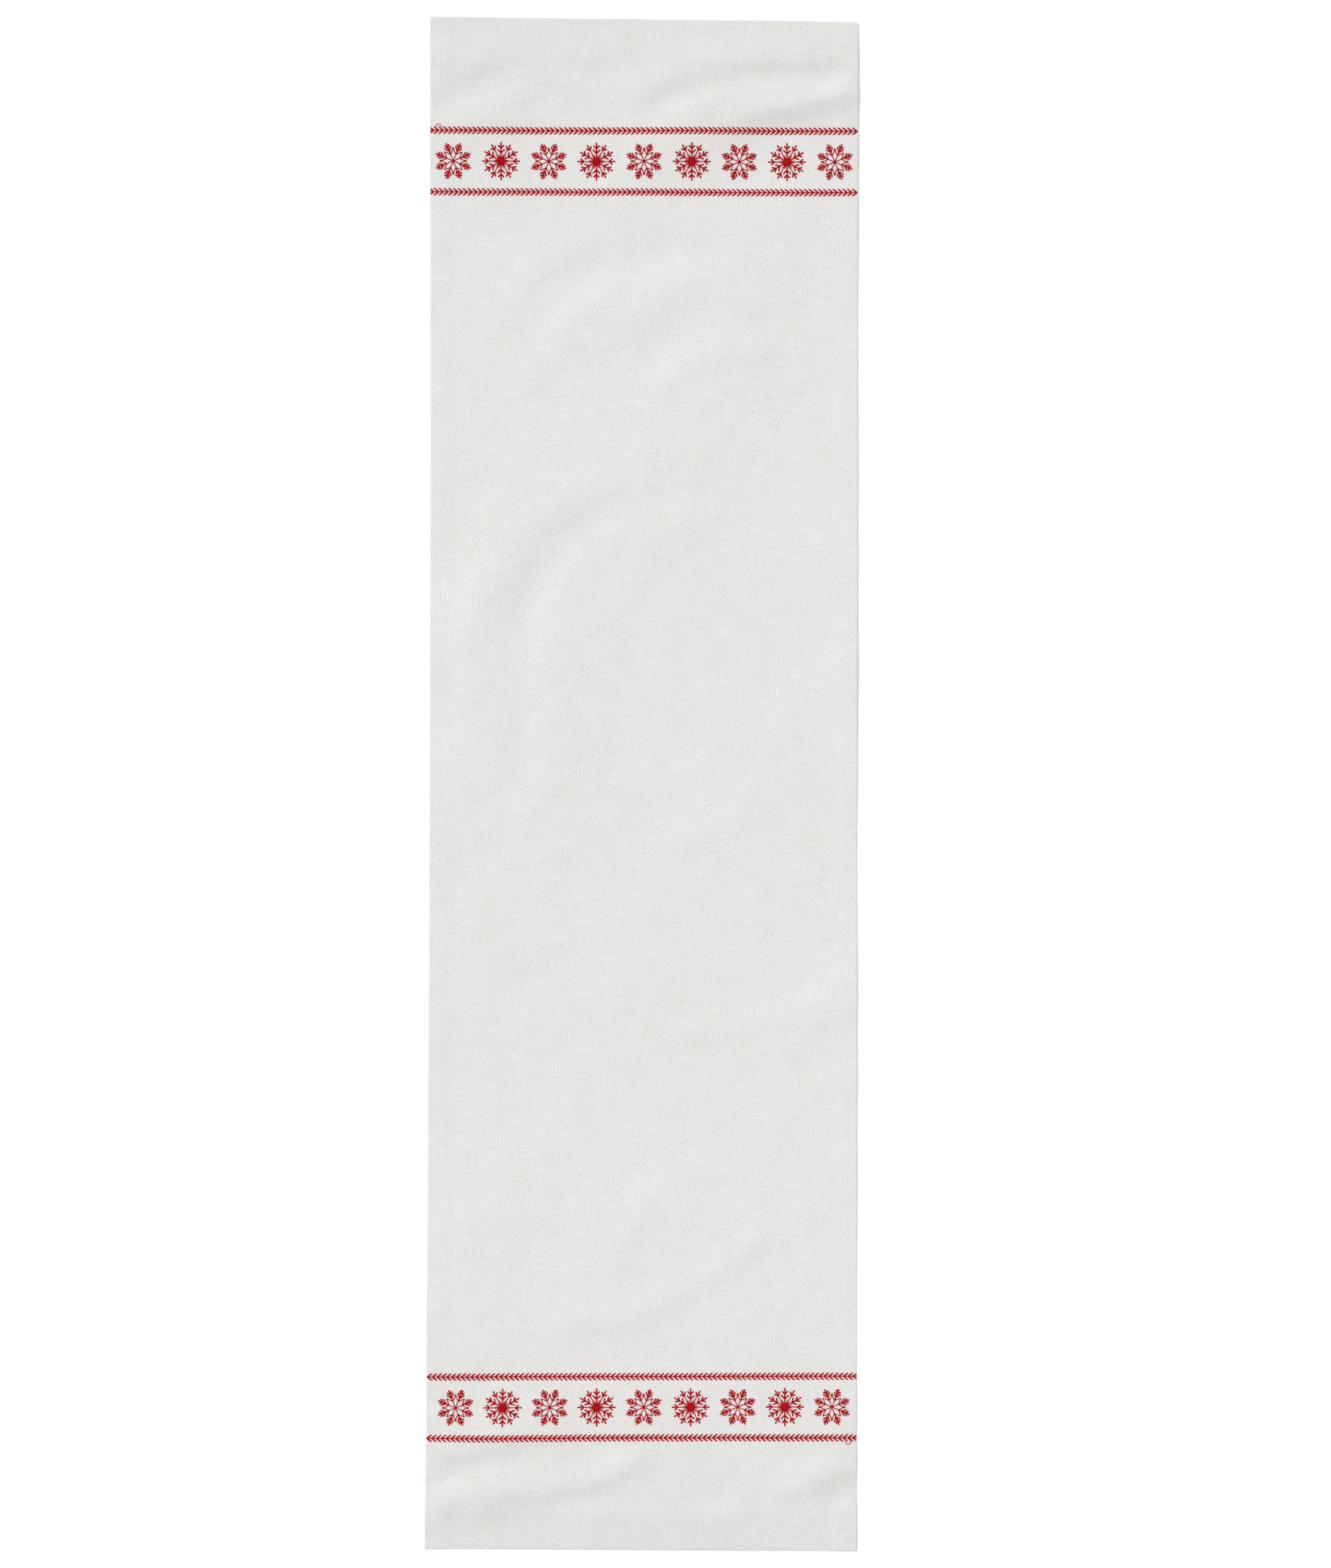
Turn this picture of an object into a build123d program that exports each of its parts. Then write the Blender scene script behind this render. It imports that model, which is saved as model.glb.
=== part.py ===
from build123d import *
import os
from math import atan2, cos, degrees, hypot, radians, sin

# A table runner of plain-woven cotton. All four sides are hemmed, and across each end
# a row of embroidered snowflakes lies between two fern-stitch borders.
#
# Frame: X runs across the runner, Y along it, and Z up. The origin is the middle of the
# underside, on the table top. "Far" is +Y, "near" is -Y, "left" is -X and "right" is +X.
# The runner looks the same after half a turn about Z. All sizes are in millimetres.

# Cloth
runner_width = 450
runner_length = 1600
layer = 0.4  # one thickness of the cloth
end_hem_depth = 38
side_hem_depth = 12
tuck = 10  # raw edge turned in between the under layer and the face
fold_gap = 0.04  # air left inside the tight inner fold

# Hem sewing: a lockstitch, pulled into the cloth until it is flush
seam_from_inner_fold = 1.5
seam_thread_width = 0.3
seam_furrow = 0.2

# Embroidery, stitched before the sides were hemmed
needle_width = 1.5  # three passes of thread side by side, on the face
needle_height = 0.4
bobbin_width = 0.5
bobbin_height = 0.2
thin_share = 0.7  # the width of a stroke of two passes over one of three
single_share = 0.45  # and of a single pass
outer_border_inset = 117  # from the end of the runner to the middle of each line
snowflake_inset = 149
inner_border_inset = 181

# Fern-stitch border: arrowheads on a spine
arrow_count = 89
arrow_run = 5.1
arrow_rise = 3.65
last_arrow_inset = 1  # from the right edge to the last arrow's tip

# Snowflakes
snowflake_count = 9
snowflake_pitch = 50
snowflake_radius = 19.4  # to the middle of a stroke's round end
star_arms = 8
star_joint = 7.4  # radius where the petals leave the arms
petal_neck = (10.8, 0.7)  # along and beside, where a narrow petal's two sides draw together
narrow_petal_tip = (13.8, 0.35)
open_petal_tip = 12.9
star_barbs = ((10.7, 15.4, 3.5), (14.6, 17.7, 2.6))  # root along the arm, tip along, tip beside
crystal_arms = 6  # of each kind
feather_barbs = ((8.6, 12.3, 3.9), (13.3, 16.6, 3.1))
fork_barbs = ((13.3, 16.7, 3.1),)
spike_length = 7.3
spike_angle = 10  # on both sides of each forked arm

# Worked out from the sizes above
stack = 3 * layer  # the face, the tuck and the under layer
face_underside = 2 * layer
half_width = runner_width / 2
half_length = runner_length / 2
clear_half_width = half_width - side_hem_depth  # between the side hems
side_hem_half_length = half_length - end_hem_depth
side_seam = half_width - side_hem_depth + seam_from_inner_fold
end_seam = half_length - end_hem_depth + seam_from_inner_fold
arrow_pitch = runner_width / arrow_count


def turned_hem(section_plane, outer_edge, depth, length, seam):
    """The turned-under cloth of one hem: outer fold, under layer, inner fold and tucked raw edge."""
    fold_line = outer_edge - stack / 2
    inner_fold = outer_edge - depth + layer
    raw_edge = outer_edge - depth + tuck
    under_top = layer - fold_gap / 2
    tuck_bottom = layer + fold_gap / 2
    turn_radius = (face_underside - under_top) / 2
    with BuildPart() as hem:
        with BuildSketch(section_plane):
            with BuildLine():
                ThreePointArc((fold_line, stack), (outer_edge, stack / 2), (fold_line, 0))
                Line((fold_line, 0), (inner_fold, 0))
                ThreePointArc(
                    (inner_fold, 0), (inner_fold - layer, layer), (inner_fold, face_underside)
                )
                Polyline(
                    (inner_fold, face_underside),
                    (raw_edge, face_underside),
                    (raw_edge, tuck_bottom),
                    (inner_fold, tuck_bottom),
                )
                ThreePointArc(
                    (inner_fold, tuck_bottom),
                    (inner_fold - fold_gap / 2, layer),
                    (inner_fold, under_top),
                )
                Line((inner_fold, under_top), (fold_line, under_top))
                ThreePointArc(
                    (fold_line, under_top),
                    (fold_line + turn_radius, under_top + turn_radius),
                    (fold_line, face_underside),
                )
                Line((fold_line, face_underside), (fold_line, stack))
            make_face()
        extrude(amount=length / 2, both=True)
        with BuildSketch(section_plane):
            with Locations((seam, seam_furrow / 2)):
                Rectangle(seam_thread_width, seam_furrow)
        extrude(amount=length / 2, both=True, mode=Mode.SUBTRACT)
    return hem


def seam_thread(section_plane, seam, middle_height, length):
    """One thread of a hem's lockstitch, as a straight bar in its furrow."""
    with BuildPart() as thread:
        with BuildSketch(section_plane):
            with Locations((seam, middle_height)):
                Rectangle(seam_thread_width, seam_furrow)
        extrude(amount=length / 2, both=True)
    return thread


def face_cloth():
    """The face layer, flat, from fold to fold, with a furrow along each seam."""
    with BuildPart() as cloth:
        with BuildSketch(Plane.XY.offset(face_underside)):
            Rectangle(runner_width - stack, 2 * side_hem_half_length)
            Rectangle(runner_width, runner_length - stack)
            with Locations((half_width, 0), (-half_width, 0)):
                Rectangle(stack, 2 * side_hem_half_length, mode=Mode.SUBTRACT)
        extrude(amount=layer)
        with BuildSketch(Plane.XY.offset(stack)):
            with Locations((0, end_seam), (0, -end_seam)):
                Rectangle(runner_width, seam_thread_width)
            with Locations((side_seam, 0), (-side_seam, 0)):
                Rectangle(seam_thread_width, 2 * side_hem_half_length)
        extrude(amount=-seam_furrow, mode=Mode.SUBTRACT)
    return cloth


def stroke(root, tip, width):
    """One embroidered line with a round tip, in the sketch that is open."""
    run, rise = tip[0] - root[0], tip[1] - root[1]
    with Locations(((root[0] + tip[0]) / 2, (root[1] + tip[1]) / 2)):
        Rectangle(hypot(run, rise), width, rotation=degrees(atan2(rise, run)))
    with Locations(tip):
        Circle(width / 2)


def barb_pairs(barbs, width):
    """Pairs of short strokes that branch forwards from an arm along local X."""
    for root, along, beside in barbs:
        for side in (beside, -beside):
            stroke((root, 0), (along, side), width)


def star_snowflake(width, height):
    """Eight feathered arms, joined by four narrow petals and four open ones by turns."""
    half_step = 180 / star_arms
    petals = star_arms // 2
    joint_along = star_joint * cos(radians(half_step))
    joint_beside = star_joint * sin(radians(half_step))
    thin = width * thin_share
    with BuildPart() as flake:
        with BuildSketch():
            with PolarLocations(0, star_arms, start_angle=half_step):
                stroke((0, 0), (snowflake_radius, 0), width)
                barb_pairs(star_barbs, width)
            for side in (1, -1):
                joint = (joint_along, side * joint_beside)
                neck = (petal_neck[0], side * petal_neck[1])
                tip = (narrow_petal_tip[0], side * narrow_petal_tip[1])
                with PolarLocations(0, petals):
                    stroke(joint, neck, thin)
                    stroke(neck, tip, thin)
                with PolarLocations(0, petals, start_angle=2 * half_step):
                    stroke(joint, (open_petal_tip, 0), thin)
        extrude(amount=height)
    return flake


def crystal_snowflake(width, height):
    """Six feathered arms and six forked ones by turns, with a burst of spikes in the middle."""
    step = 360 / crystal_arms
    fork_root = fork_barbs[0][0]
    with BuildPart() as flake:
        with BuildSketch():
            with PolarLocations(0, crystal_arms, start_angle=step / 2):
                stroke((0, 0), (snowflake_radius, 0), width)
                barb_pairs(feather_barbs, width)
            with PolarLocations(0, crystal_arms):
                stroke((0, 0), (fork_root, 0), width * thin_share)
                stroke((fork_root, 0), (snowflake_radius, 0), width)
                barb_pairs(fork_barbs, width)
            for angle in (spike_angle, -spike_angle):
                with PolarLocations(0, crystal_arms, start_angle=angle):
                    stroke((0, 0), (spike_length, 0), width * single_share)
        extrude(amount=height)
    return flake


def fern_border(width, height, half_span):
    """A line of arrowheads along X on a thin spine, cut off at half_span on both sides."""
    tips = [(half_width - last_arrow_inset - k * arrow_pitch, 0) for k in range(arrow_count + 1)]
    with BuildPart() as border:
        with BuildSketch():
            Rectangle(runner_width, width * thin_share)
            with Locations(*tips):
                for side in (arrow_rise, -arrow_rise):
                    stroke((0, 0), (-arrow_run, side), width)
            Rectangle(2 * half_span, 4 * arrow_rise, mode=Mode.INTERSECT)
        extrude(amount=height)
    return border


def placed(pattern, x, y, z):
    """A copy of an embroidered pattern at that place on the runner."""
    with BuildPart() as copy:
        with Locations((x, y, z)):
            add(pattern.part)
    return copy


def between_side_hems(pattern):
    """The part of a pattern on the underside that the side hems don't cover."""
    with BuildPart() as clear:
        add(pattern.part)
        Box(2 * clear_half_width, 2 * half_length, 2 * stack, mode=Mode.INTERSECT)
    return clear


def half_turn(piece):
    """The matching piece at the other end or side."""
    with BuildPart() as turned:
        add(piece.part, rotation=(0, 0, 180))
    return turned


def hem_pieces():
    """The hems and their two threads each, by node name."""
    under_seam = seam_furrow / 2
    face_seam = stack - seam_furrow / 2
    side_length = 2 * side_hem_half_length
    right = {
        "side_hem": turned_hem(Plane.XZ, half_width, side_hem_depth, side_length, side_seam),
        "side_hem_needle_thread": seam_thread(Plane.XZ, side_seam, face_seam, side_length),
        "side_hem_bobbin_thread": seam_thread(Plane.XZ, side_seam, under_seam, side_length),
    }
    far = {
        "end_hem": turned_hem(Plane.YZ, half_length, end_hem_depth, runner_width, end_seam),
        "end_hem_needle_thread": seam_thread(Plane.YZ, end_seam, face_seam, runner_width),
        "end_hem_bobbin_thread": seam_thread(Plane.YZ, end_seam, under_seam, runner_width),
    }
    pieces = {}
    for name, piece in right.items():
        pieces["right_" + name] = piece
        pieces["left_" + name] = half_turn(piece)
    for name, piece in far.items():
        pieces["far_" + name] = piece
        pieces["near_" + name] = half_turn(piece)
    return pieces


def embroidery_pieces():
    """Each motif's needle thread on the face and bobbin thread underneath, by node name."""
    kinds = (("star", star_snowflake), ("crystal", crystal_snowflake))
    needle_flakes = [make(needle_width, needle_height) for _, make in kinds]
    bobbin_flakes = [make(bobbin_width, bobbin_height) for _, make in kinds]
    needle_border = fern_border(needle_width, needle_height, half_width - stack / 2)
    bobbin_border = fern_border(bobbin_width, bobbin_height, clear_half_width)
    bobbin_bottom = face_underside - bobbin_height
    far = {}
    for line, inset in (("outer", outer_border_inset), ("inner", inner_border_inset)):
        y = half_length - inset
        far[line + "_border"] = placed(needle_border, 0, y, stack)
        far[line + "_border_bobbin"] = placed(bobbin_border, 0, y, bobbin_bottom)
    for number in range(snowflake_count):
        kind = number % len(kinds)
        name = f"{kinds[kind][0]}_snowflake_{number + 1}"
        x = (number - (snowflake_count - 1) / 2) * snowflake_pitch
        y = half_length - snowflake_inset
        far[name] = placed(needle_flakes[kind], x, y, stack)
        underneath = placed(bobbin_flakes[kind], x, y, bobbin_bottom)
        far[name + "_bobbin"] = between_side_hems(underneath)
    pieces = {}
    for name, piece in far.items():
        pieces["far_" + name] = piece
        pieces["near_" + name] = half_turn(piece)
    return pieces


os.makedirs("parts", exist_ok=True)
for name, piece in {"face_cloth": face_cloth(), **hem_pieces(), **embroidery_pieces()}.items():
    piece.part.label = name
    export_step(piece.part, f"parts/{name}.step", write_pcurves=False)
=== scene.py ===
from math import cos, hypot, pi, radians, sin

import bpy
import numpy as np
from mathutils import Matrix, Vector


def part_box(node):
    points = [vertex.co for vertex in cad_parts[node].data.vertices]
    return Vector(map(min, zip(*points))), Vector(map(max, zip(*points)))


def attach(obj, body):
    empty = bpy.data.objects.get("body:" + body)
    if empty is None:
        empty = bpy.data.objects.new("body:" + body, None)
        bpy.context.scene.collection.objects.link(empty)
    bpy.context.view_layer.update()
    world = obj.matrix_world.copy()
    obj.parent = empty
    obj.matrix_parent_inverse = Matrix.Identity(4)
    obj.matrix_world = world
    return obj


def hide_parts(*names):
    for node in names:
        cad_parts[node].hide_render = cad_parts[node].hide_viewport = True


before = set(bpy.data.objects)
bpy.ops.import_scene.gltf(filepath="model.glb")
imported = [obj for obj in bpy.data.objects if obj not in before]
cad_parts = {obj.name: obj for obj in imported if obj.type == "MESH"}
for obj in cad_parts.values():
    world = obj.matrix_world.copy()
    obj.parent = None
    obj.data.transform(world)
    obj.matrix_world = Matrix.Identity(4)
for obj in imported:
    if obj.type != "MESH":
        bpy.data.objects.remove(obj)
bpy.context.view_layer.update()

# A table runner of plain-woven cotton, laid flat. It is one length of cloth, turned under on
# all four sides and sewn down, with dark red embroidery across each end.
#
# Sizes are in millimetres until a mesh is made. A "place" is x and y on the finished runner
# when it lies perfectly flat and square, and a depth below the middle of its face layer.
MM = 0.001


def node_box(node):
    """The lowest and the highest corner of a CAD node, in mm."""
    low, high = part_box(node)
    return low / MM, high / MM


def node_centre(node):
    """The middle of a CAD node, in mm."""
    low, high = node_box(node)
    return (low + high) / 2


# ---- Sizes that the frame gives ------------------------------------------------------------

half_width = node_box("right_side_hem")[1].x
half_length = node_box("far_end_hem")[1].y
side_hem_depth = half_width - node_box("right_side_hem")[0].x
end_hem_depth = half_length - node_box("far_end_hem")[0].y
ply = node_box("face_cloth")[1].z - node_box("face_cloth")[0].z  # from layer to layer
side_seam = node_centre("right_side_hem_needle_thread").x
end_seam = node_centre("far_end_hem_needle_thread").y
border_rows = [node_centre("far_outer_border").y, node_centre("far_inner_border").y]
flake_row = node_centre("far_star_snowflake_5").y
inner_end_fold = half_length - end_hem_depth
inner_side_fold = half_width - side_hem_depth

# ---- Sizes of the cloth --------------------------------------------------------------------

cloth_thickness = 0.96 * ply  # the rest is the air between pressed layers
tuck = 10  # the raw edge, turned in
corner_press = 0.38  # how much the iron flattens the nine layers of a corner
thread_under = 0.2  # the runner stands on its bobbin threads
step_width = 17  # the face comes down from a hem to the table over this width
weave_pitch = 0.45  # from yarn to yarn

# How the runner lies, off square. Each pair is for the far end and the near end.
left_edge_out = (-3.1, 2.4)
right_edge_out = (0.5, -1.1)
left_edge_bow = 2.3  # inwards, halfway along the left edge
end_fold_tilt = (-2.9, -1.2)  # at the right edge; the hems were not turned quite square
row_tilt = (-0.6, 0.4)  # the embroidery rows are straighter

# ---- Sizes of the sewing -------------------------------------------------------------------

seam_stitch = 2.65
seam_thread = 0.3
embroidery_thread = 0.61
pass_spacing = 0.52  # between threads that share a stroke
flake_stitch = 2.4
overlap = 1.12  # each stitch reaches a little past its holes
bobbin_thread = 0.24
stray = 0.05  # how far a thread wanders off its line
crossing = 0.12  # how much higher a barb lies, where it starts on its arm

arrow_count = 89
arrow_run = 5.1
arrow_rise = 3.65
last_arrow_inset = 1
wrap = 0.3  # where the border goes over the folded edge
tail = ((-218.5, 0.5), (-219.5, 3.5), (-217.5, 6.6), (-214.5, 6.2), (-212.5, 3.6))

row_slip = {"far": (0.0, 1.003), "near": (2.5, 0.983)}  # of the snowflakes: moved, stretched
flake_radius = 20.0
star_arms = 8
star_joint = 7.4
petal_neck = (10.8, 0.75)  # along and beside, where a narrow petal's two sides draw together
narrow_petal_tip = (14.2, 0.35)
open_petal_tip = 13.3
star_barbs = ((10.7, 15.5, 3.5), (14.6, 17.8, 2.6))  # root along the arm, tip along, tip beside
crystal_arms = 6
feather_barbs = ((8.6, 12.4, 4.0), (13.3, 16.7, 3.1))
fork_barbs = ((13.3, 16.8, 3.1),)
spike_length = 7.9
spike_angle = radians(10)


# ---- How the cloth lies --------------------------------------------------------------------


def ease(t):
    """From 0 to 1, gently, while t goes from 0 to 1."""
    t = np.clip(t, 0, 1)
    return t * t * (3 - 2 * t)


def spline_weight(t):
    """The weight of a lattice point at distance t, in a smooth cubic blend."""
    t = np.abs(t)
    near = (4 - 6 * t**2 + 3 * t**3) / 6
    far = np.clip(2 - t, 0, None) ** 3 / 6
    return np.where(t < 1, near, far)


def swell(x, y, spacing, seed, turn=0.0, stretch=1.0):
    """Smooth random hills, about -0.6 to 0.6, drawn out along the direction turn."""
    along = (x * cos(turn) + y * sin(turn)) / (spacing * stretch)
    across = (y * cos(turn) - x * sin(turn)) / spacing
    size = int(2.4 * half_length / spacing) + 8
    hills = np.random.default_rng(seed).uniform(-1, 1, (size, size))
    a = along + size / 2
    b = across + size / 2
    first_a = np.floor(a).astype(int)
    first_b = np.floor(b).astype(int)
    total = np.zeros_like(a)
    for i in range(-1, 3):
        for j in range(-1, 3):
            weight = spline_weight(a - first_a - i) * spline_weight(b - first_b - j)
            total += weight * hills[(first_a + i) % size, (first_b + j) % size]
    return total


def near_row(y, row, width):
    """1 on a row of either end, fading to 0 over that width."""
    return np.exp(-(((np.abs(y) - row) / width) ** 2))


def along_curve(x, y, curve, width):
    """1 along the middle of a curve through three points, fading smoothly away from it."""
    first, middle, last = (np.array(point, float) for point in curve)
    steps = 40
    t = (np.arange(steps) + 0.5)[:, None] / steps
    bend = 2 * middle - (first + last) / 2
    points = (1 - t) ** 2 * first + 2 * t * (1 - t) * bend + t**2 * last
    length = np.linalg.norm(np.diff(points, axis=0), axis=1).sum()
    total = np.zeros_like(x)
    for px, py in points:
        total += np.exp(-((x - px) ** 2 + (y - py) ** 2) / width**2)
    return total * length / steps / width / 1.77


# The swells of the cloth: height, spacing, the way that they run and how far it draws them out.
swells = (
    (2.8, 60, radians(52), 1.9),
    (1.3, 25, radians(48), 1.5),
    (0.34, 11, radians(40), 1.3),
)

# The soft folds left in the cloth: height, width, and three points that each runs through. One
# with a negative height is a furrow in a wide low rise.
soft_folds = (
    (-4.8, 18, (-230, 706), (-188, 722), (-145, 738)),
    (-3.4, 15, (0, 704), (95, 737), (215, 744)),
    (4.6, 15, (98, 698), (165, 712), (228, 724)),
    (-2.8, 19, (-114, 470), (-60, 535), (95, 560)),
    (1.8, 17, (-20, 480), (8, 512), (60, 530)),
    (-1.7, 17, (4, 435), (45, 478), (140, 482)),
    (1.5, 15, (10, 405), (62, 445), (142, 452)),
    (-2.6, 21, (-124, 150), (-80, 255), (66, 312)),
    (-2.4, 20, (-130, -10), (-127, 70), (-122, 160)),
    (2.0, 24, (-185, 20), (-180, 140), (-150, 245)),
    (1.3, 14, (-35, -44), (70, -50), (120, 15)),
    (-2.0, 20, (-215, -130), (-180, -90), (-140, -45)),
    (2.1, 20, (35, -262), (120, -248), (222, -222)),
    (1.3, 15, (-32, -505), (-12, -468), (8, -425)),
    (2.7, 17, (-92, -560), (20, -543), (128, -468)),
    (4.4, 18, (230, -706), (188, -722), (145, -738)),
    (3.4, 15, (0, -704), (-95, -737), (-215, -744)),
    (-4.6, 15, (-98, -698), (-165, -712), (-228, -724)),
)


def waves(x, y):
    """The cloth's own unevenness: soft folds, broad swells and puckers by the stitching."""
    x, y = np.broadcast_arrays(np.asarray(x, float), np.asarray(y, float))
    total = 0.5
    for seed, (height, spacing, turn, stretch) in enumerate(swells, 3):
        total = total + height * swell(x, y, spacing, seed, turn, stretch)
    folds = 0
    for height, width, *curve in soft_folds:
        folds = folds + height * along_curve(x, y, curve, width)
        if height < 0:
            folds -= 1.25 * height * along_curve(x, y, curve, 4 * width)
    total += folds * (0.45 + 0.55 * ease((half_width - np.abs(x)) / 30))
    total *= 0.12 + 0.88 * ease((half_length - np.abs(y)) / 46)
    band = sum(near_row(y, row, 8) for row in border_rows)
    band = band + 0.6 * near_row(y, flake_row, 22)
    total += 0.2 * band * swell(x, y, 5.5, 11, pi / 2, 2.2)
    sides = near_row(x, inner_side_fold - 4, 14)
    ends = near_row(y, inner_end_fold - 4, 12)
    total += 0.12 * sides * swell(x, y, 9, 12, 0, 2.5)
    total += 0.12 * ends * swell(x, y, 7, 13, pi / 2, 2.5)
    return (total + np.sqrt(total**2 + 0.1)) / 2  # the table holds it up


def beside_folds(x, y):
    """How far into a side hem and into an end hem a place is, each from 0 to 1."""
    side = ease((np.abs(x) - inner_side_fold + step_width) / step_width)
    end = ease((np.abs(y) - inner_end_fold + step_width) / step_width)
    return side, end


def stack_of(side):
    """How thick the cloth is where an end hem starts to turn: one ply, or three by a side hem."""
    return ply * (1 + 2 * side)


def press(x, y):
    """What pressing leaves of the depth of the layers."""
    side, end = beside_folds(x, y)
    return 1 - corner_press * side * end


def layers_below(x, y):
    """How far the face's middle stands above the middle of the lowest layer."""
    side, end = beside_folds(x, y)
    plain = 2 * ply * side
    turned = 3 * stack_of(side) - ply
    return press(x, y) * (plain + (turned - plain) * end)


def face_height(x, y):
    """The height of the middle of the face layer above the table."""
    return thread_under + cloth_thickness / 2 + layers_below(x, y) + waves(x, y)


def drift(x, y):
    """How far a place lies from where it would be on a perfectly square runner."""
    along, across = y / half_length, x / half_width
    far, near = (1 + along) / 2, (1 - along) / 2
    left = -left_edge_out[0] * far - left_edge_out[1] * near + left_edge_bow * (1 - along**2)
    right = right_edge_out[0] * far + right_edge_out[1] * near
    dx = (left * (1 - across) + right * (1 + across)) / 2
    in_hem = ease((np.abs(y) - border_rows[0] - 8) / 70)
    in_rows = ease((np.abs(y) - 560) / 60)
    tilt = [in_rows * row + in_hem * (hem - row) for row, hem in zip(row_tilt, end_fold_tilt)]
    dy = across * np.where(y > 0, *tilt)
    return dx + 0.4 * swell(x, y, 55, 21), dy + 0.4 * swell(x, y, 55, 22)


def lie(x, y, depth):
    """Points, in metres, at places on the runner as it really lies."""
    x, y, depth = np.broadcast_arrays(*(np.asarray(v, float) for v in (x, y, depth)))
    dx, dy = drift(x, y)
    z = face_height(x, y) - press(x, y) * depth
    return np.stack([x + dx, y + dy, z], axis=-1) * MM


def underside_depth(x, y):
    """The depth of the runner's underside at a place."""
    return layers_below(x, y) / press(x, y) + cloth_thickness / 2


# ---- The cloth -----------------------------------------------------------------------------


def turned_edge(face, edge, hem, stack, depth):
    """Follows the cloth from the middle of the runner out, round the fold of a hem and back in.

    stack is the thickness of what is turned and depth is where in it this layer lies. Gives
    the distance from the middle and the depth of each station, one row for each value of stack.
    """
    stack, depth = np.atleast_1d(stack)[:, None], np.atleast_1d(depth)[:, None]
    fold_depth = (3 * stack - ply) / 2
    fold_start = edge - cloth_thickness / 2 - fold_depth
    tuck_depth = stack - ply / 2
    inner_start = edge - hem + cloth_thickness / 2 + tuck_depth
    outer_turn = np.linspace(0, pi, 7)[None, 1:-1]
    inner_turn = np.linspace(0, pi, 6)[None, 1:-1]
    back = np.linspace(0, 1, 7)[None]
    tucked = np.linspace(0, tuck, 3)[None]
    outer, inner = fold_depth - depth, tuck_depth - depth
    scale = fold_start / face[-1]
    place = [
        face[None] * scale,
        fold_start + outer * np.sin(outer_turn),
        fold_start + (inner_start - fold_start) * back,
        inner_start - inner * np.sin(inner_turn),
        inner_start + tucked,
    ]
    below = [
        depth + 0 * face[None],
        fold_depth - outer * np.cos(outer_turn),
        3 * stack - ply - depth + 0 * back,
        2 * stack - ply / 2 + inner * np.cos(inner_turn),
        stack + depth + 0 * tucked,
    ]
    return np.concatenate(place, axis=1), np.concatenate(below, axis=1)


def both_ways(half):
    """A row of stations that starts in the middle, with its mirror image before it."""
    return np.concatenate([-half[..., :0:-1], half], axis=-1)


def mirrored(half):
    """The depths for both_ways."""
    return np.concatenate([half[..., :0:-1], half], axis=-1)


def flat_length(place, below):
    """How far along the flat cloth each station of one edge is."""
    steps = np.hypot(np.diff(place), np.diff(below))
    return np.concatenate([[0], np.cumsum(steps)])


def cloth_grid():
    """The middle surface of the folded cloth, and where each of its points was on the flat cut."""
    across = np.concatenate(
        [
            np.arange(0, 190, 5.3),
            np.linspace(191, inner_side_fold + 4, 15),
            np.linspace(219, half_width, 4),
        ]
    )
    along = np.concatenate(
        [
            np.arange(0, 588, 8.4),
            np.linspace(592, inner_end_fold - step_width - 1, 56),
            np.linspace(inner_end_fold - step_width, inner_end_fold + 5, 12),
            np.linspace(inner_end_fold + 9, half_length, 8),
        ]
    )
    side_place, side_depth = turned_edge(across, half_width, side_hem_depth, ply, 0)
    flat_x = both_ways(flat_length(side_place[0], side_depth[0]))
    x = both_ways(side_place[0])
    depth = mirrored(side_depth[0])
    stack = stack_of(beside_folds(x, 0 * x)[0])
    end_place, end_depth = turned_edge(along, half_length, end_hem_depth, stack, depth)
    middle_place, middle_depth = turned_edge(along, half_length, end_hem_depth, ply, 0)
    flat_y = both_ways(flat_length(middle_place[0], middle_depth[0]))
    y = both_ways(end_place)
    depth = mirrored(end_depth)
    points = lie(x[:, None] + 0 * y, y, depth)
    pressed = press(x[:, None] + 0 * y, y)
    cut = np.stack(np.broadcast_arrays(flat_x[:, None], flat_y[None]), axis=-1) * MM
    return points, pressed, cut


def across_surface(points):
    """The direction straight out of a grid of points, at each of them."""
    out = np.cross(np.gradient(points, axis=0), np.gradient(points, axis=1))
    return out / np.linalg.norm(out, axis=-1, keepdims=True)


def grid_faces(rows, columns, first, flip):
    """The quads of a grid whose points are numbered from first."""
    index = first + np.arange(rows * columns).reshape(rows, columns)
    quads = np.stack([index[:-1, :-1], index[1:, :-1], index[1:, 1:], index[:-1, 1:]], axis=-1)
    quads = quads.reshape(-1, 4)
    return quads[:, ::-1] if flip else quads


def rim_faces(rows, columns):
    """The quads that close the raw edge between the two sides of the cloth."""
    index = np.arange(rows * columns).reshape(rows, columns)
    ring = np.concatenate([index[:-1, 0], index[-1, :-1], index[:0:-1, -1], index[0, :0:-1]])
    after = np.roll(ring, -1)
    lower = rows * columns
    return np.stack([ring, ring + lower, after + lower, after], axis=-1)


def mesh_from(name, points, quads):
    """A smooth mesh of quads."""
    mesh = bpy.data.meshes.new(name)
    mesh.from_pydata(points.tolist(), [], quads.tolist())
    mesh.shade_smooth()
    return mesh


def linked(name, mesh):
    """A new object in the scene that shows a mesh."""
    piece = bpy.data.objects.new(name, mesh)
    bpy.context.scene.collection.objects.link(piece)
    return piece


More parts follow.
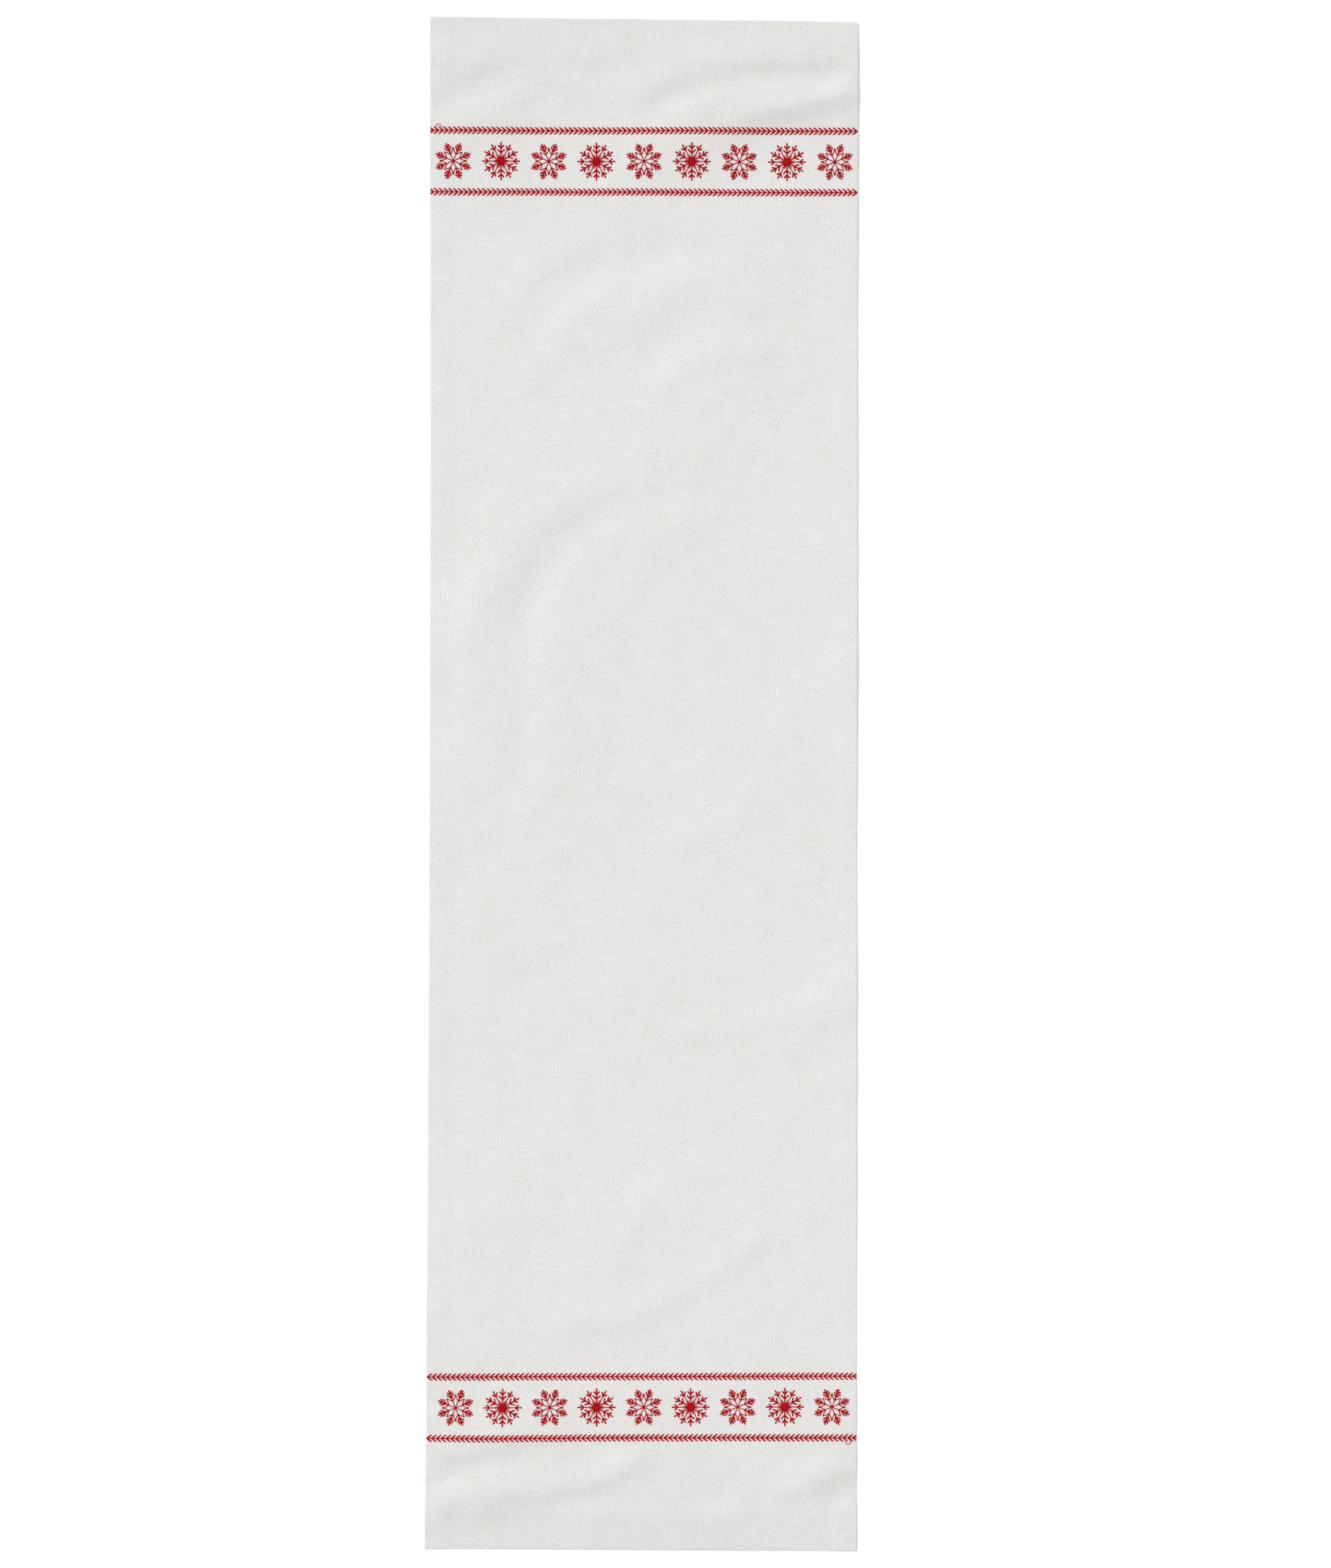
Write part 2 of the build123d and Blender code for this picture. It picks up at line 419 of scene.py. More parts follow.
def make_cloth(finish):
    """The whole runner cloth, one closed folded sheet. Also gives its flat cut size in metres."""
    middle, pressed, cut = cloth_grid()
    rows, columns = middle.shape[:2]
    offset = across_surface(middle) * (pressed * cloth_thickness / 2 * MM)[..., None]
    points = np.concatenate([(middle + offset).reshape(-1, 3), (middle - offset).reshape(-1, 3)])
    quads = np.concatenate(
        [
            grid_faces(rows, columns, 0, False),
            grid_faces(rows, columns, rows * columns, True),
            rim_faces(rows, columns),
        ]
    )
    mesh = mesh_from("runner_cloth", points, quads)
    places = np.concatenate([cut.reshape(-1, 2)] * 2)[quads.reshape(-1)]
    mesh.uv_layers.new(name="cut").data.foreach_set("uv", places.astype(np.float32).ravel())
    mesh.materials.append(finish)
    size = cut.reshape(-1, 2).max(0) - cut.reshape(-1, 2).min(0)
    return linked("runner_cloth", mesh), tuple(float(s) for s in size)


# ---- Node trees ----------------------------------------------------------------------------


def add(tree, kind, inputs=None, **settings):
    """A node with its settings, its inputs set to values or linked to sockets."""
    node = tree.nodes.new(kind)
    for name, value in settings.items():
        setattr(node, name, value)
    for name, value in (inputs or {}).items():
        if isinstance(value, bpy.types.NodeSocket):
            tree.links.new(value, node.inputs[name])
        else:
            node.inputs[name].default_value = value
    return node


def calc(tree, operation, first, second=0.0, third=0.0):
    """The result of a Math node."""
    values = {0: first, 1: second, 2: third}
    return add(tree, "ShaderNodeMath", values, operation=operation).outputs[0]


def vector_calc(tree, operation, first, second=(0, 0, 0), output=0):
    """The result of a Vector Math node."""
    values = {0: first, 1: second}
    return add(tree, "ShaderNodeVectorMath", values, operation=operation).outputs[output]


def stored(tree, name, kind):
    """A named attribute, as a socket."""
    return add(tree, "GeometryNodeInputNamedAttribute", {0: name}, data_type=kind).outputs[0]


def scaled(tree, vector, share):
    """A vector times a number or a socket."""
    node = vector_calc(tree, "SCALE", vector).node
    if isinstance(share, bpy.types.NodeSocket):
        tree.links.new(share, node.inputs["Scale"])
    else:
        node.inputs["Scale"].default_value = share
    return node.outputs[0]


def thread_laying():
    """The tree that lays thread.

    Each point is a stitch, with "along" from hole to hole, "passes" beside each other and
    "tip", which is 1 where a stroke ends.
    """
    tree = bpy.data.node_groups.new("lay_thread", "GeometryNodeTree")
    sockets = (
        ("Stitches", "NodeSocketGeometry"),
        ("Thread", "NodeSocketFloat"),
        ("Spacing", "NodeSocketFloat"),
        ("Arch", "NodeSocketFloat"),
        ("Sink", "NodeSocketFloat"),
        ("Wander", "NodeSocketFloat"),
        ("Pinch", "NodeSocketFloat"),
        ("Up", "NodeSocketFloat"),
        ("Bends", "NodeSocketInt"),
        ("Sides", "NodeSocketInt"),
        ("Seed", "NodeSocketInt"),
        ("Finish", "NodeSocketMaterial"),
    )
    for name, kind in sockets:
        tree.interface.new_socket(name, in_out="INPUT", socket_type=kind)
    tree.interface.new_socket("Threads", in_out="OUTPUT", socket_type="NodeSocketGeometry")
    given = tree.nodes.new("NodeGroupInput").outputs

    # One straight thread along X, one unit long, that remembers where on it each point was.
    line = add(tree, "GeometryNodeCurvePrimitiveLine", {"Start": (-0.5, 0, 0), "End": (0.5, 0, 0)})
    line = add(
        tree, "GeometryNodeResampleCurve", {"Curve": line.outputs[0], "Count": given["Bends"]}
    )
    radius = calc(tree, "MULTIPLY", given["Thread"], 0.5)
    ring = add(
        tree, "GeometryNodeCurvePrimitiveCircle", {"Resolution": given["Sides"], "Radius": radius}
    )
    tube = add(
        tree,
        "GeometryNodeCurveToMesh",
        {"Curve": line.outputs[0], "Profile Curve": ring.outputs[0], "Fill Caps": True},
    )
    place = add(tree, "GeometryNodeInputPosition").outputs[0]
    remembered = add(
        tree,
        "GeometryNodeStoreNamedAttribute",
        {"Geometry": tube.outputs[0], "Name": "on_thread", "Value": place},
        data_type="FLOAT_VECTOR",
        domain="POINT",
    )

    # It rises out of one hole, lies over the cloth and goes down the other, a little thinner there.
    parts = add(tree, "ShaderNodeSeparateXYZ", {0: place}).outputs
    towards_end = calc(tree, "ABSOLUTE", calc(tree, "MULTIPLY", parts[0], 2.0))
    steep = calc(tree, "POWER", towards_end, 5.0)
    fall = calc(tree, "ADD", given["Arch"], given["Sink"])
    height = calc(tree, "SUBTRACT", given["Arch"], calc(tree, "MULTIPLY", steep, fall))
    slim = calc(tree, "SUBTRACT", 1.0, calc(tree, "MULTIPLY", steep, 0.25))
    bent = add(
        tree,
        "ShaderNodeCombineXYZ",
        {
            0: parts[0],
            1: calc(tree, "MULTIPLY", parts[1], slim),
            2: calc(tree, "ADD", calc(tree, "MULTIPLY", parts[2], slim), height),
        },
    )
    stitch = add(
        tree,
        "GeometryNodeSetPosition",
        {"Geometry": remembered.outputs[0], "Position": bent.outputs[0]},
    )

    # Every pass of a stitch has its own line beside the others, never quite straight.
    along = stored(tree, "along", "FLOAT_VECTOR")
    passes = stored(tree, "passes", "INT")
    copies = add(
        tree,
        "GeometryNodeDuplicateElements",
        {"Geometry": given["Stitches"], "Amount": passes},
        domain="POINT",
    )
    middle = calc(tree, "MULTIPLY", calc(tree, "SUBTRACT", passes, 1.0), 0.5)
    rank = calc(tree, "SUBTRACT", copies.outputs["Duplicate Index"], middle)
    aside = vector_calc(tree, "NORMALIZE", vector_calc(tree, "CROSS_PRODUCT", along, (0, 0, 1)))
    shift = scaled(tree, aside, calc(tree, "MULTIPLY", rank, given["Spacing"]))
    strays = []
    for step in (0, 1):
        limit = scaled(tree, (1, 1, 0.4), given["Wander"])
        lowest = scaled(tree, limit, -1)
        chance = add(
            tree,
            "FunctionNodeRandomValue",
            {0: lowest, 1: limit, "Seed": calc(tree, "ADD", given["Seed"], float(step))},
            data_type="FLOAT_VECTOR",
        )
        strays.append(chance.outputs[0])
    laid = add(
        tree,
        "GeometryNodeSetPosition",
        {"Geometry": copies.outputs[0], "Offset": vector_calc(tree, "ADD", shift, strays[0])},
    )
    run = vector_calc(tree, "ADD", along, strays[1])
    facing = add(
        tree, "FunctionNodeAlignRotationToVector", {"Vector": run}, axis="X", pivot_axis="AUTO"
    )
    upwards = add(tree, "ShaderNodeCombineXYZ", {0: 0.0, 1: 0.0, 2: given["Up"]})
    upright = add(
        tree,
        "FunctionNodeAlignRotationToVector",
        {"Rotation": facing.outputs[0], "Vector": upwards.outputs[0]},
        axis="Z",
        pivot_axis="X",
    )
    span = vector_calc(tree, "LENGTH", run, output=1)
    size = add(tree, "ShaderNodeCombineXYZ", {0: span, 1: 1.0, 2: 1.0})
    placed = add(
        tree,
        "GeometryNodeInstanceOnPoints",
        {
            "Points": laid.outputs[0],
            "Instance": stitch.outputs[0],
            "Rotation": upright.outputs[0],
            "Scale": size.outputs[0],
        },
    )
    tone = add(
        tree,
        "FunctionNodeRandomValue",
        {2: 0.0, 3: 1.0, "Seed": given["Seed"]},
        data_type="FLOAT",
    ).outputs[1]
    marked = placed.outputs[0]
    notes = (("span", span, "FLOAT"), ("tone", tone, "FLOAT"), ("aside", shift, "FLOAT_VECTOR"))
    for name, value, kind in notes:
        marked = add(
            tree,
            "GeometryNodeStoreNamedAttribute",
            {"Geometry": marked, "Name": name, "Value": value},
            data_type=kind,
            domain="INSTANCE",
        ).outputs[0]
    real = add(tree, "GeometryNodeRealizeInstances", {0: marked})

    # The passes draw together where they share a hole, most of all at the tip of a stroke.
    on_thread = stored(tree, "on_thread", "FLOAT_VECTOR")
    forward = add(tree, "ShaderNodeSeparateXYZ", {0: on_thread}).outputs[0]
    off_middle = calc(tree, "ABSOLUTE", calc(tree, "MULTIPLY", forward, 2.0))
    to_hole = calc(tree, "POWER", off_middle, 5.0)
    at_end = calc(tree, "GREATER_THAN", forward, 0.0)
    at_tip = calc(tree, "MULTIPLY", at_end, stored(tree, "tip", "FLOAT"))
    more = calc(tree, "SUBTRACT", 0.8, given["Pinch"])
    pinch = calc(tree, "MULTIPLY_ADD", at_tip, more, given["Pinch"])
    amount = calc(tree, "MULTIPLY", calc(tree, "MULTIPLY", to_hole, pinch), -1.0)
    inwards = scaled(tree, stored(tree, "aside", "FLOAT_VECTOR"), amount)
    drawn = add(
        tree, "GeometryNodeSetPosition", {"Geometry": real.outputs[0], "Offset": inwards}
    ).outputs[0]
    for name in ("along", "passes", "tip", "aside"):
        removal = add(tree, "GeometryNodeRemoveAttribute", {"Geometry": drawn, "Name": name})
        drawn = removal.outputs[0]
    smooth = add(tree, "GeometryNodeSetShadeSmooth", {"Geometry": drawn})
    painted = add(
        tree,
        "GeometryNodeSetMaterial",
        {"Geometry": smooth.outputs[0], "Material": given["Finish"]},
    )
    add(tree, "NodeGroupOutput", {"Threads": painted.outputs[0]})
    return tree


# ---- Finishes ------------------------------------------------------------------------------


def new_finish(name):
    """An empty material with its shader and its output."""
    finish = bpy.data.materials.new(name)
    finish.use_nodes = True
    tree = finish.node_tree
    tree.nodes.clear()
    shader = add(tree, "ShaderNodeBsdfPrincipled")
    add(tree, "ShaderNodeOutputMaterial", {"Surface": shader.outputs[0]})
    return finish, tree, shader


def mix_colour(tree, share, first, second):
    """Two colours mixed by a share."""
    return add(tree, "ShaderNodeMix", {0: share, 6: first, 7: second}, data_type="RGBA").outputs[2]


def grain(tree, place, stretch, detail=2.0, offset=0.0):
    """Noise about 0.5, with that many grains to the metre along each direction."""
    moved = vector_calc(tree, "ADD", place, (offset, offset, 0))
    counted = vector_calc(tree, "MULTIPLY", moved, (*stretch, 1.0))
    values = {"Vector": counted, "Scale": 1.0, "Detail": detail}
    return add(tree, "ShaderNodeTexNoise", values, noise_dimensions="2D").outputs["Fac"]


def ramp(tree, value, low, high, to_low=0.0, to_high=1.0):
    """A value carried from one range to another, and held at its ends."""
    values = {0: value, 1: low, 2: high, 3: to_low, 4: to_high}
    return add(tree, "ShaderNodeMapRange", values, clamp=True).outputs[0]


def plain_weave(tree, across, along):
    """The height of a plain weave, from its two counts of yarns."""
    heights = []
    for here, other, side in ((across, along, 1.0), (along, across, -1.0)):
        number = calc(tree, "FLOOR", here)
        inside = calc(tree, "MULTIPLY_ADD", calc(tree, "FRACT", here), 2.0, -1.0)
        round_yarn = calc(tree, "SUBTRACT", 1.0, calc(tree, "MULTIPLY", inside, inside))
        over = calc(tree, "SINE", calc(tree, "MULTIPLY", calc(tree, "ADD", other, number), pi))
        heights.append(calc(tree, "MULTIPLY_ADD", over, 0.55 * side, round_yarn))
    return calc(tree, "MAXIMUM", *heights)


def specks(tree, place, stretch, share, size):
    """1 inside scattered small specks, and 0 elsewhere."""
    counted = vector_calc(tree, "MULTIPLY", place, (*stretch, 1.0))
    cells = add(
        tree, "ShaderNodeTexVoronoi", {"Vector": counted, "Scale": 1.0}, voronoi_dimensions="2D"
    ).outputs
    chance = add(tree, "ShaderNodeSeparateColor", {0: cells["Color"]}).outputs
    reach = calc(tree, "MULTIPLY", chance[1], size)
    inside = calc(tree, "LESS_THAN", cells["Distance"], reach)
    return calc(tree, "MULTIPLY", inside, calc(tree, "LESS_THAN", chance[0], share))


def natural_cotton(name, hem_line):
    """Unbleached plain weave with slubs, seed flecks and, along the end seams, needle holes;
    painted shade lies between the yarns, in the needle holes and over the end hems.
    """
    finish, tree, shader = new_finish(name)
    cut = add(tree, "ShaderNodeUVMap", uv_map="cut").outputs[0]
    uneven = grain(tree, cut, (130, 130), 1.0)
    parts = add(tree, "ShaderNodeSeparateXYZ", {0: cut}).outputs
    yarns = 1 / (weave_pitch * MM)
    across = calc(tree, "MULTIPLY_ADD", parts[0], yarns, calc(tree, "MULTIPLY", uneven, 1.6))
    along = calc(tree, "MULTIPLY_ADD", parts[1], yarns, calc(tree, "MULTIPLY", uneven, -1.6))
    weave = plain_weave(tree, across, along)

    thick_weft = ramp(tree, grain(tree, cut, (110, 1100), 2.0, 3.0), 0.58, 0.78)
    thick_warp = ramp(tree, grain(tree, cut, (1100, 110), 2.0, 7.0), 0.60, 0.80)
    slubs = calc(tree, "MAXIMUM", thick_weft, thick_warp)
    fuzz = grain(tree, cut, (1300, 1300), 3.0, 11.0)
    pills = grain(tree, cut, (560, 560), 2.0, 13.0)
    cloudy = grain(tree, cut, (9, 9), 3.0, 17.0)
    patchy = grain(tree, cut, (42, 42), 2.0, 19.0)
    streaks = calc(
        tree, "ADD", grain(tree, cut, (40, 650), 2.0, 23.0), grain(tree, cut, (650, 40), 2.0, 29.0)
    )

    colour = mix_colour(
        tree, ramp(tree, cloudy, 0.3, 0.7), (0.742, 0.732, 0.722, 1), (0.750, 0.754, 0.752, 1)
    )
    seeds = specks(tree, cut, (32, 32), 0.36, 0.022)
    hairs = specks(tree, cut, (70, 18), 0.10, 0.03)
    flecks = calc(tree, "MAXIMUM", seeds, calc(tree, "MULTIPLY", hairs, 0.8))
    tints = (
        (ramp(tree, patchy, 0.3, 0.7, 0.0, 0.2), (0.62, 0.60, 0.56, 1)),
        (ramp(tree, streaks, 0.8, 1.2, 0.0, 0.36), (0.59, 0.585, 0.56, 1)),
        (calc(tree, "MULTIPLY", slubs, 0.35), (0.76, 0.755, 0.73, 1)),
        (ramp(tree, pills, 0.32, 0.62, 0.46, 0.0), (0.53, 0.525, 0.51, 1)),
        (ramp(tree, fuzz, 0.35, 0.60, 0.30, 0.0), (0.50, 0.495, 0.48, 1)),
        # Painted shade between the yarns, where the weave lies low.
        (ramp(tree, weave, 0.35, 0.75, 0.25, 0.0), (0.46, 0.45, 0.43, 1)),
        (calc(tree, "MULTIPLY", flecks, 0.5), (0.14, 0.12, 0.09, 1)),
    )
    for share, tint in tints:
        colour = mix_colour(tree, share, colour, tint)

    # Towards the ends the cloth is a little darker; over the hems it is darker again, painted shade
    # for three layers letting less light through from the pale table.
    from_middle = calc(tree, "ABSOLUTE", parts[1])
    in_end = ramp(tree, from_middle, 0.52, hem_line - 0.04, 0.0, 0.062)
    colour = mix_colour(tree, in_end, colour, (0.3, 0.3, 0.28, 1))
    # Painted shade over the three-layer hems.
    in_hem = ramp(tree, from_middle, hem_line - 0.001, hem_line + 0.009, 0.0, 0.03)
    colour = mix_colour(tree, in_hem, colour, (0.3, 0.3, 0.28, 1))
    # Needle holes along the end seams: a dimple in the bump, and painted shade in each hole in the
    # colour.
    off_seam = calc(tree, "DIVIDE", calc(tree, "SUBTRACT", from_middle, end_seam * MM), 0.5 * MM)
    phase = calc(tree, "FRACT", calc(tree, "DIVIDE", parts[0], seam_stitch * MM))
    off_hole = calc(tree, "MULTIPLY", calc(tree, "SUBTRACT", phase, 0.5), seam_stitch / 0.5)
    apart = calc(
        tree, "ADD", calc(tree, "POWER", off_seam, 2.0), calc(tree, "POWER", off_hole, 2.0)
    )
    holes = ramp(tree, apart, 0.3, 1.6, 0.18, 0.0)
    colour = mix_colour(tree, holes, colour, (0.25, 0.24, 0.22, 1))

    height = calc(tree, "MULTIPLY_ADD", slubs, 0.8, weave)
    height = calc(tree, "MULTIPLY_ADD", fuzz, 1.6, height)
    height = calc(tree, "MULTIPLY_ADD", pills, 3.0, height)
    height = calc(tree, "MULTIPLY_ADD", holes, -2.0, height)
    bump = add(
        tree, "ShaderNodeBump", {"Height": height, "Strength": 0.6, "Distance": 0.09 * MM}
    )
    tree.links.new(colour, shader.inputs["Base Color"])
    tree.links.new(bump.outputs[0], shader.inputs["Normal"])
    tree.links.new(ramp(tree, fuzz, 0.3, 0.7, 0.82, 0.95), shader.inputs["Roughness"])
    shader.inputs["Specular IOR Level"].default_value = 0.25
    shader.inputs["Sheen Weight"].default_value = 0.25
    shader.inputs["Sheen Roughness"].default_value = 0.6
    return finish


def twisted_thread(name, light, dark, twist, roughness, sheen):
    """Two-ply thread with painted shade in the grooves along its twist and a tone of its own for
    each stitch.
    """
    finish, tree, shader = new_finish(name)
    on_thread = add(tree, "ShaderNodeAttribute", attribute_name="on_thread").outputs["Vector"]
    span = add(tree, "ShaderNodeAttribute", attribute_name="span").outputs["Fac"]
    tone = add(tree, "ShaderNodeAttribute", attribute_name="tone").outputs["Fac"]
    parts = add(tree, "ShaderNodeSeparateXYZ", {0: on_thread}).outputs
    distance = calc(tree, "MULTIPLY", parts[0], span)
    round_it = calc(tree, "ARCTAN2", parts[2], parts[1])
    angle = calc(tree, "MULTIPLY_ADD", distance, 2 * pi / (twist * MM), round_it)
    plies = calc(tree, "ABSOLUTE", calc(tree, "SINE", angle))
    turns = calc(tree, "MULTIPLY", distance, 400.0)
    spiral = add(tree, "ShaderNodeCombineXYZ", {0: turns, 1: angle, 2: tone})
    fibres = add(
        tree,
        "ShaderNodeTexNoise",
        {"Vector": vector_calc(tree, "MULTIPLY", spiral.outputs[0], (1, 3, 9)), "Scale": 1.0},
    ).outputs["Fac"]
    # Painted shade: the grooves between the plies take the dark colour, which also gives each
    # stitch its darker tone and marks the fibres.
    colour = mix_colour(tree, ramp(tree, plies, 0.0, 0.45), dark, light)
    colour = mix_colour(tree, ramp(tree, tone, 0.0, 1.0, 0.0, 0.35), colour, dark)
    colour = mix_colour(tree, ramp(tree, fibres, 0.35, 0.65, 0.30, 0.0), colour, dark)
    height = calc(tree, "MULTIPLY_ADD", fibres, 0.3, plies)
    bump = add(
        tree, "ShaderNodeBump", {"Height": height, "Strength": 0.7, "Distance": 0.06 * MM}
    )
    tree.links.new(colour, shader.inputs["Base Color"])
    tree.links.new(bump.outputs[0], shader.inputs["Normal"])
    shader.inputs["Roughness"].default_value = roughness
    shader.inputs["Specular IOR Level"].default_value = 0.07
    shader.inputs["Sheen Weight"].default_value = sheen
    shader.inputs["Sheen Roughness"].default_value = 0.4
    return finish


def pale_floor():
    """Plain matt white."""
    finish, tree, shader = new_finish("pale_floor")
    shader.inputs["Base Color"].default_value = (0.96, 0.96, 0.96, 1)
    shader.inputs["Roughness"].default_value = 0.9
    return finish


# ---- The embroidery's lines ----------------------------------------------------------------
# A stroke is (start, end, passes, level) on a motif's own plan: level is how much higher it
# lies because other thread is already under it.


def at_angle(point, angle):
    """A point turned about the middle of its motif."""
    x, y = point
    return x * cos(angle) - y * sin(angle), x * sin(angle) + y * cos(angle)


def turned_strokes(strokes, angle):
    """Strokes turned about the middle of their motif."""
    return [(at_angle(a, angle), at_angle(b, angle), n, level) for a, b, n, level in strokes]


def barbs(pairs):
    """Pairs of short strokes that branch forwards from an arm along X."""
    found = []
    for root, along, beside in pairs:
        for side in (beside, -beside):
            found.append(((root, 0), (along, side), 3, crossing))
    return found


def star_strokes():
    """Eight feathered arms with narrow and open petals between, and one travelling stitch."""
    step = 2 * pi / star_arms
    arm = [((0, 0), (star_joint, 0), 2, 0), ((star_joint, 0), (flake_radius, 0), 3, 0)]
    arm += barbs(star_barbs)
    petals = ([], [])
    for side in (1, -1):
        joint = at_angle((star_joint, 0), side * step / 2)
        neck = (petal_neck[0], side * petal_neck[1])
        tip = (narrow_petal_tip[0], side * narrow_petal_tip[1])
        petals[0].extend([(joint, neck, 2, 0.06), (neck, tip, 2, 0.06)])
        petals[1].append((joint, (open_petal_tip, 0), 2, 0.06))
    strokes = []
    for number in range(star_arms):
        strokes += turned_strokes(arm, (number + 0.5) * step)
        strokes += turned_strokes(petals[number % 2], number * step)
    _, along, beside = star_barbs[-1]
    travel = [((flake_radius - 0.6, 0), (along, beside), 2, 0.15)]
    return strokes + turned_strokes(travel, -2.5 * step)


def crystal_strokes():
    """Six feathered and six forked arms by turns, with a burst of spikes in the middle."""
    step = 2 * pi / crystal_arms
    feather = [((0, 0), (flake_radius, 0), 3, 0)] + barbs(feather_barbs)
    root = fork_barbs[0][0]
    fork = [((0, 0), (root, 0), 2, 0), ((root, 0), (flake_radius, 0), 3, 0)] + barbs(fork_barbs)
    for angle in (spike_angle, -spike_angle):
        thick = ((0.6, 0), (0.7 * spike_length, 0), 2, 0.2)
        thin = ((0.6 * spike_length, 0), (spike_length, 0), 1, 0.2)
        fork += turned_strokes([thick, thin], angle)
        fork += turned_strokes([((0, 0), (0.45 * spike_length, 0), 2, 0.35)], 1.5 * angle)
    strokes = []
    for number in range(crystal_arms):
        strokes += turned_strokes(feather, (number + 0.5) * step)
        strokes += turned_strokes(fork, number * step)
    return strokes


def border_strokes():
    """Arrowheads on a thin spine, right across the runner from fold to fold."""
    pitch = 2 * half_width / arrow_count
    limit = half_width - wrap
    strokes = []
    for number in range(arrow_count + 1):
        tip = half_width - last_arrow_inset - number * pitch
        strokes.append(((tip - pitch, 0), (tip, 0), 2, 0))
        for side in (arrow_rise, -arrow_rise):
            strokes.append(((tip, 0), (tip - arrow_run, side), 3, 0.1))
    strokes.append(((half_width - last_arrow_inset, 0), (limit, 0), 2, 0))
    return [cut for cut in (trimmed(s, limit) for s in strokes) if cut]


def loose_tail():
    """The end of the thread, left loose where the outer border starts."""
    return [(a, b, 1, 2 * crossing) for a, b in zip(tail[:-1], tail[1:])]


def trimmed(stroke, limit):
    """A stroke without what lies past the folded sides, or None."""
    (ax, ay), (bx, by), passes, level = stroke
    if abs(bx - ax) < 1e-6:
        return stroke if abs(ax) < limit else None
    first, last = sorted(((-limit - ax) / (bx - ax), (limit - ax) / (bx - ax)))
    first, last = max(first, 0), min(last, 1)
    if last - first < 0.08:
        return None
    start = (ax + (bx - ax) * first, ay + (by - ay) * first)
    end = (ax + (bx - ax) * last, ay + (by - ay) * last)
    return start, end, passes, level


def stitched(strokes, length):
    """The strokes cut into equal stitches no longer than length."""
    stitches = []
    for (ax, ay), (bx, by), passes, level in strokes:
        count = max(1, round(hypot(bx - ax, by - ay) / length))
        holes = np.linspace((ax, ay), (bx, by), count + 1)
        tips = [0.0] * (count - 1) + [1.0]
        stitches += [(*a, *b, passes, level, t) for a, b, t in zip(holes[:-1], holes[1:], tips)]
    return np.array(stitches)


# ---- Laying thread on the cloth ------------------------------------------------------------


def set_input(modifier, name, value):
    """Sets a tree's input, by the name it has in the tree."""
    for item in modifier.node_group.interface.items_tree:
        if item.item_type == "SOCKET" and item.in_out == "INPUT" and item.name == name:
            modifier[item.identifier] = value


def lay_thread(name, start, end, passes, tips, settings):
    """Thread from each start to each end, in metres, as one plain mesh."""
    mesh = bpy.data.meshes.new(name)
    mesh.vertices.add(len(start))
    mesh.vertices.foreach_set("co", ((start + end) / 2).astype(np.float32).ravel())
    along = mesh.attributes.new("along", "FLOAT_VECTOR", "POINT")
    along.data.foreach_set("vector", (overlap * (end - start)).astype(np.float32).ravel())
    count = mesh.attributes.new("passes", "INT", "POINT")
    count.data.foreach_set("value", passes.astype(np.int32))
    mesh.attributes.new("tip", "FLOAT", "POINT").data.foreach_set("value", tips.astype(np.float32))
    piece = linked(name, mesh)
    modifier = piece.modifiers.new("lay_thread", "NODES")
    modifier.node_group = thread_tree
    for key, value in settings.items():
        set_input(modifier, key, value)
    depsgraph = bpy.context.evaluated_depsgraph_get()
    piece.data = bpy.data.meshes.new_from_object(
        piece.evaluated_get(depsgraph), preserve_all_data_layers=True, depsgraph=depsgraph
    )
    piece.modifiers.clear()
    piece.data.name = name
    return piece


def finish_piece(piece, slot, *nodes):
    """Puts a piece on the runner's body, in place of CAD nodes."""
    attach(piece, "root")
    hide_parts(*nodes)
    return piece


def embroider(node, strokes, centre, angle, length, seed):
    """One motif's thread on the face, and its bobbin thread underneath."""
    stitches = stitched(strokes, length)
    ends = []
    for a, b in ((0, 1), (2, 3)):
        x, y = at_angle((stitches[:, a], stitches[:, b]), angle)
        ends.append((x + centre.x, y + centre.y))
    top = -cloth_thickness / 2
    start, end = (lie(x, y, top - stitches[:, 5]) for x, y in ends)
    face = lay_thread(
        node + "_stitches",
        start,
        end,
        stitches[:, 4],
        stitches[:, 6],
        {
            "Thread": embroidery_thread * MM,
            "Spacing": pass_spacing * MM,
            "Arch": 0.2 * MM,
            "Sink": 0.12 * MM,
            "Wander": 0.06 * MM,
            "Pinch": 0.2,
            "Up": 1.0,
            "Bends": 5,
            "Sides": 6,
            "Seed": seed,
            "Finish": red_thread,
        },
    )
    finish_piece(face, "embroidery_thread", node)
    clear = [np.abs(x) < inner_side_fold - 0.5 for x, _ in ends]
    kept = clear[0] & clear[1]
    start, end = (lie(x, y, cloth_thickness / 2)[kept] for x, y in ends)
    back = lay_thread(
        node + "_bobbin_stitches",
        start,
        end,
        np.ones(int(kept.sum())),
        np.zeros(int(kept.sum())),
        {
            "Thread": bobbin_thread * MM,
            "Spacing": 0.0,
            "Arch": 0.05 * MM,
            "Sink": 0.1 * MM,
            "Wander": stray * MM,
            "Up": -1.0,
            "Bends": 4,
            "Sides": 5,
            "Seed": seed + 500,
            "Finish": red_thread,
        },
    )
    finish_piece(back, "embroidery_thread", node + "_bobbin")
    return [face, back]


def seam_places(line, reach, along_x):
    """The needle holes of a straight seam at that distance from the middle."""
    count = round(2 * reach / seam_stitch)
    holes = (np.arange(count + 1) - count / 2) * seam_stitch
    holes = holes[np.abs(holes) <= reach]
    fixed = np.full(len(holes), line)
    return (holes, fixed) if along_x else (fixed, holes)


